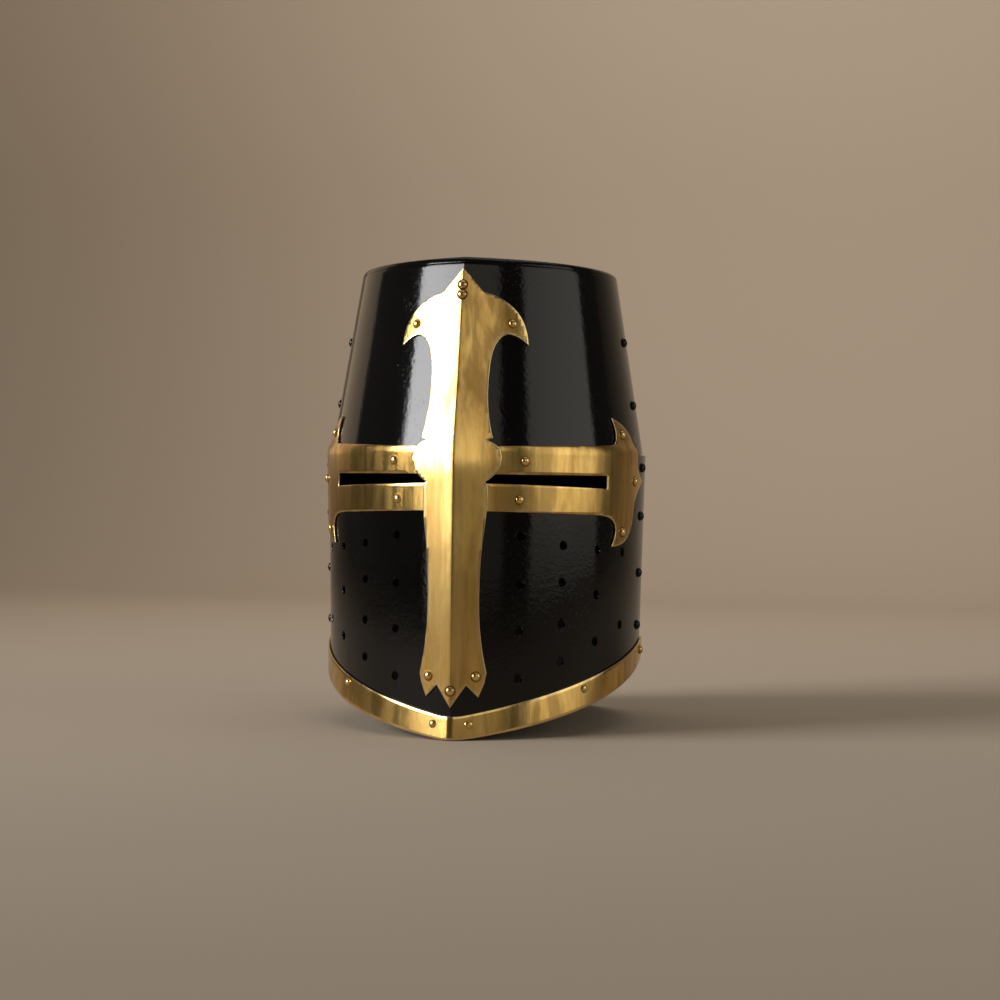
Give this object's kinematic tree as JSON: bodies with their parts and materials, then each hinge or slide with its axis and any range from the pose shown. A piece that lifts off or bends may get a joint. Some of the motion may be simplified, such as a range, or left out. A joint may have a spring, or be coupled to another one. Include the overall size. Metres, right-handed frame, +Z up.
{
  "type": "great helm",
  "caption": "Flat-topped black steel great helm with a keeled face, brass cross and sights, brass rim, leather liner and a buckled chin strap that swings.",
  "frame": {"origin": "middle of the footprint, on the surface the helm stands on", "axes": "+Z up, the face looks along -Y, +X is the wearer's left"},
  "size_m": [0.231, 0.2863, 0.324],
  "materials": {
    "black_steel": "high-gloss black enamel over steel sheet",
    "black_rivets": "black enamel, satin",
    "brass": "brushed brass with brown stains, polished edges",
    "brass_rivets": "polished brass, darker round the foot",
    "buckle_brass": "cast brass, satin",
    "liner_leather": "brown vegetable-tanned leather",
    "lace_leather": "undyed rawhide thong",
    "strap_leather": "dark brown leather, waxed"
  },
  "bodies": {
    "shell": {"brow_rivet_left": "brass_rivets", "brow_rivet_right": "brass_rivets", "cheek_rivet_left": "brass_rivets", "cheek_rivet_right": "brass_rivets", "cross_arm_left": "brass", "cross_arm_right": "brass", "cross_foot_rivet": "brass_rivets", "cross_horn_rivet_left": "brass_rivets", "cross_horn_rivet_right": "brass_rivets", "cross_toe_rivet_left": "brass_rivets", "cross_toe_rivet_right": "brass_rivets", "cross_top_rivet": "brass_rivets", "cross_upright": "brass", "crown_plate": "black_steel", "crown_rivet": "brass_rivets", "liner": "liner_leather", "liner_lace": "lace_leather", "lower_back_plate": "black_steel", "lower_front_plate": "black_steel", "nape_rivet_left": "black_rivets", "nape_rivet_middle": "black_rivets", "nape_rivet_right": "black_rivets", "rim_back": "brass", "rim_cheek_rivet_left": "brass_rivets", "rim_cheek_rivet_right": "brass_rivets", "rim_front": "brass", "rim_front_rivet_left": "brass_rivets", "rim_front_rivet_right": "brass_rivets", "rim_neck_rivet_left": "brass_rivets", "rim_neck_rivet_middle": "brass_rivets", "rim_neck_rivet_right": "brass_rivets", "rim_side_rivet_left": "brass_rivets", "rim_side_rivet_right": "brass_rivets", "seam_rivet_1_left": "black_rivets", "seam_rivet_1_right": "black_rivets", "seam_rivet_2_left": "black_rivets", "seam_rivet_2_right": "black_rivets", "seam_rivet_3_left": "black_rivets", "seam_rivet_3_right": "black_rivets", "seam_rivet_4_left": "black_rivets", "seam_rivet_4_right": "black_rivets", "seam_rivet_5_left": "black_rivets", "seam_rivet_5_right": "black_rivets", "strap_rivet_left": "black_rivets", "strap_rivet_right": "black_rivets", "temple_lower_rivet_left": "brass_rivets", "temple_lower_rivet_right": "brass_rivets", "temple_middle_rivet_left": "brass_rivets", "temple_middle_rivet_right": "brass_rivets", "temple_upper_rivet_left": "brass_rivets", "temple_upper_rivet_right": "brass_rivets", "upper_back_plate": "black_steel", "upper_front_plate": "black_steel"},
    "chin_strap": {"chin_strap_short": "strap_leather", "chin_strap_long": "strap_leather", "strap_keeper": "strap_leather", "buckle_frame": "buckle_brass"},
    "prong": {"buckle_prong": "buckle_brass"}
  },
  "joints": [
    {"name": "chin_strap_swing", "type": "hinge", "parent": "shell", "child": "chin_strap", "pos_m": [0, -0.00753, 0.147], "axis": [1, 0, 0], "range_deg": [-38, 40]},
    {"name": "buckle_prong_hinge", "type": "hinge", "parent": "chin_strap", "child": "prong", "pos_m": [0.06101, -0.00753, 0.0547], "axis": [0, 1, 0], "range_deg": [-18, 0]}
  ]
}
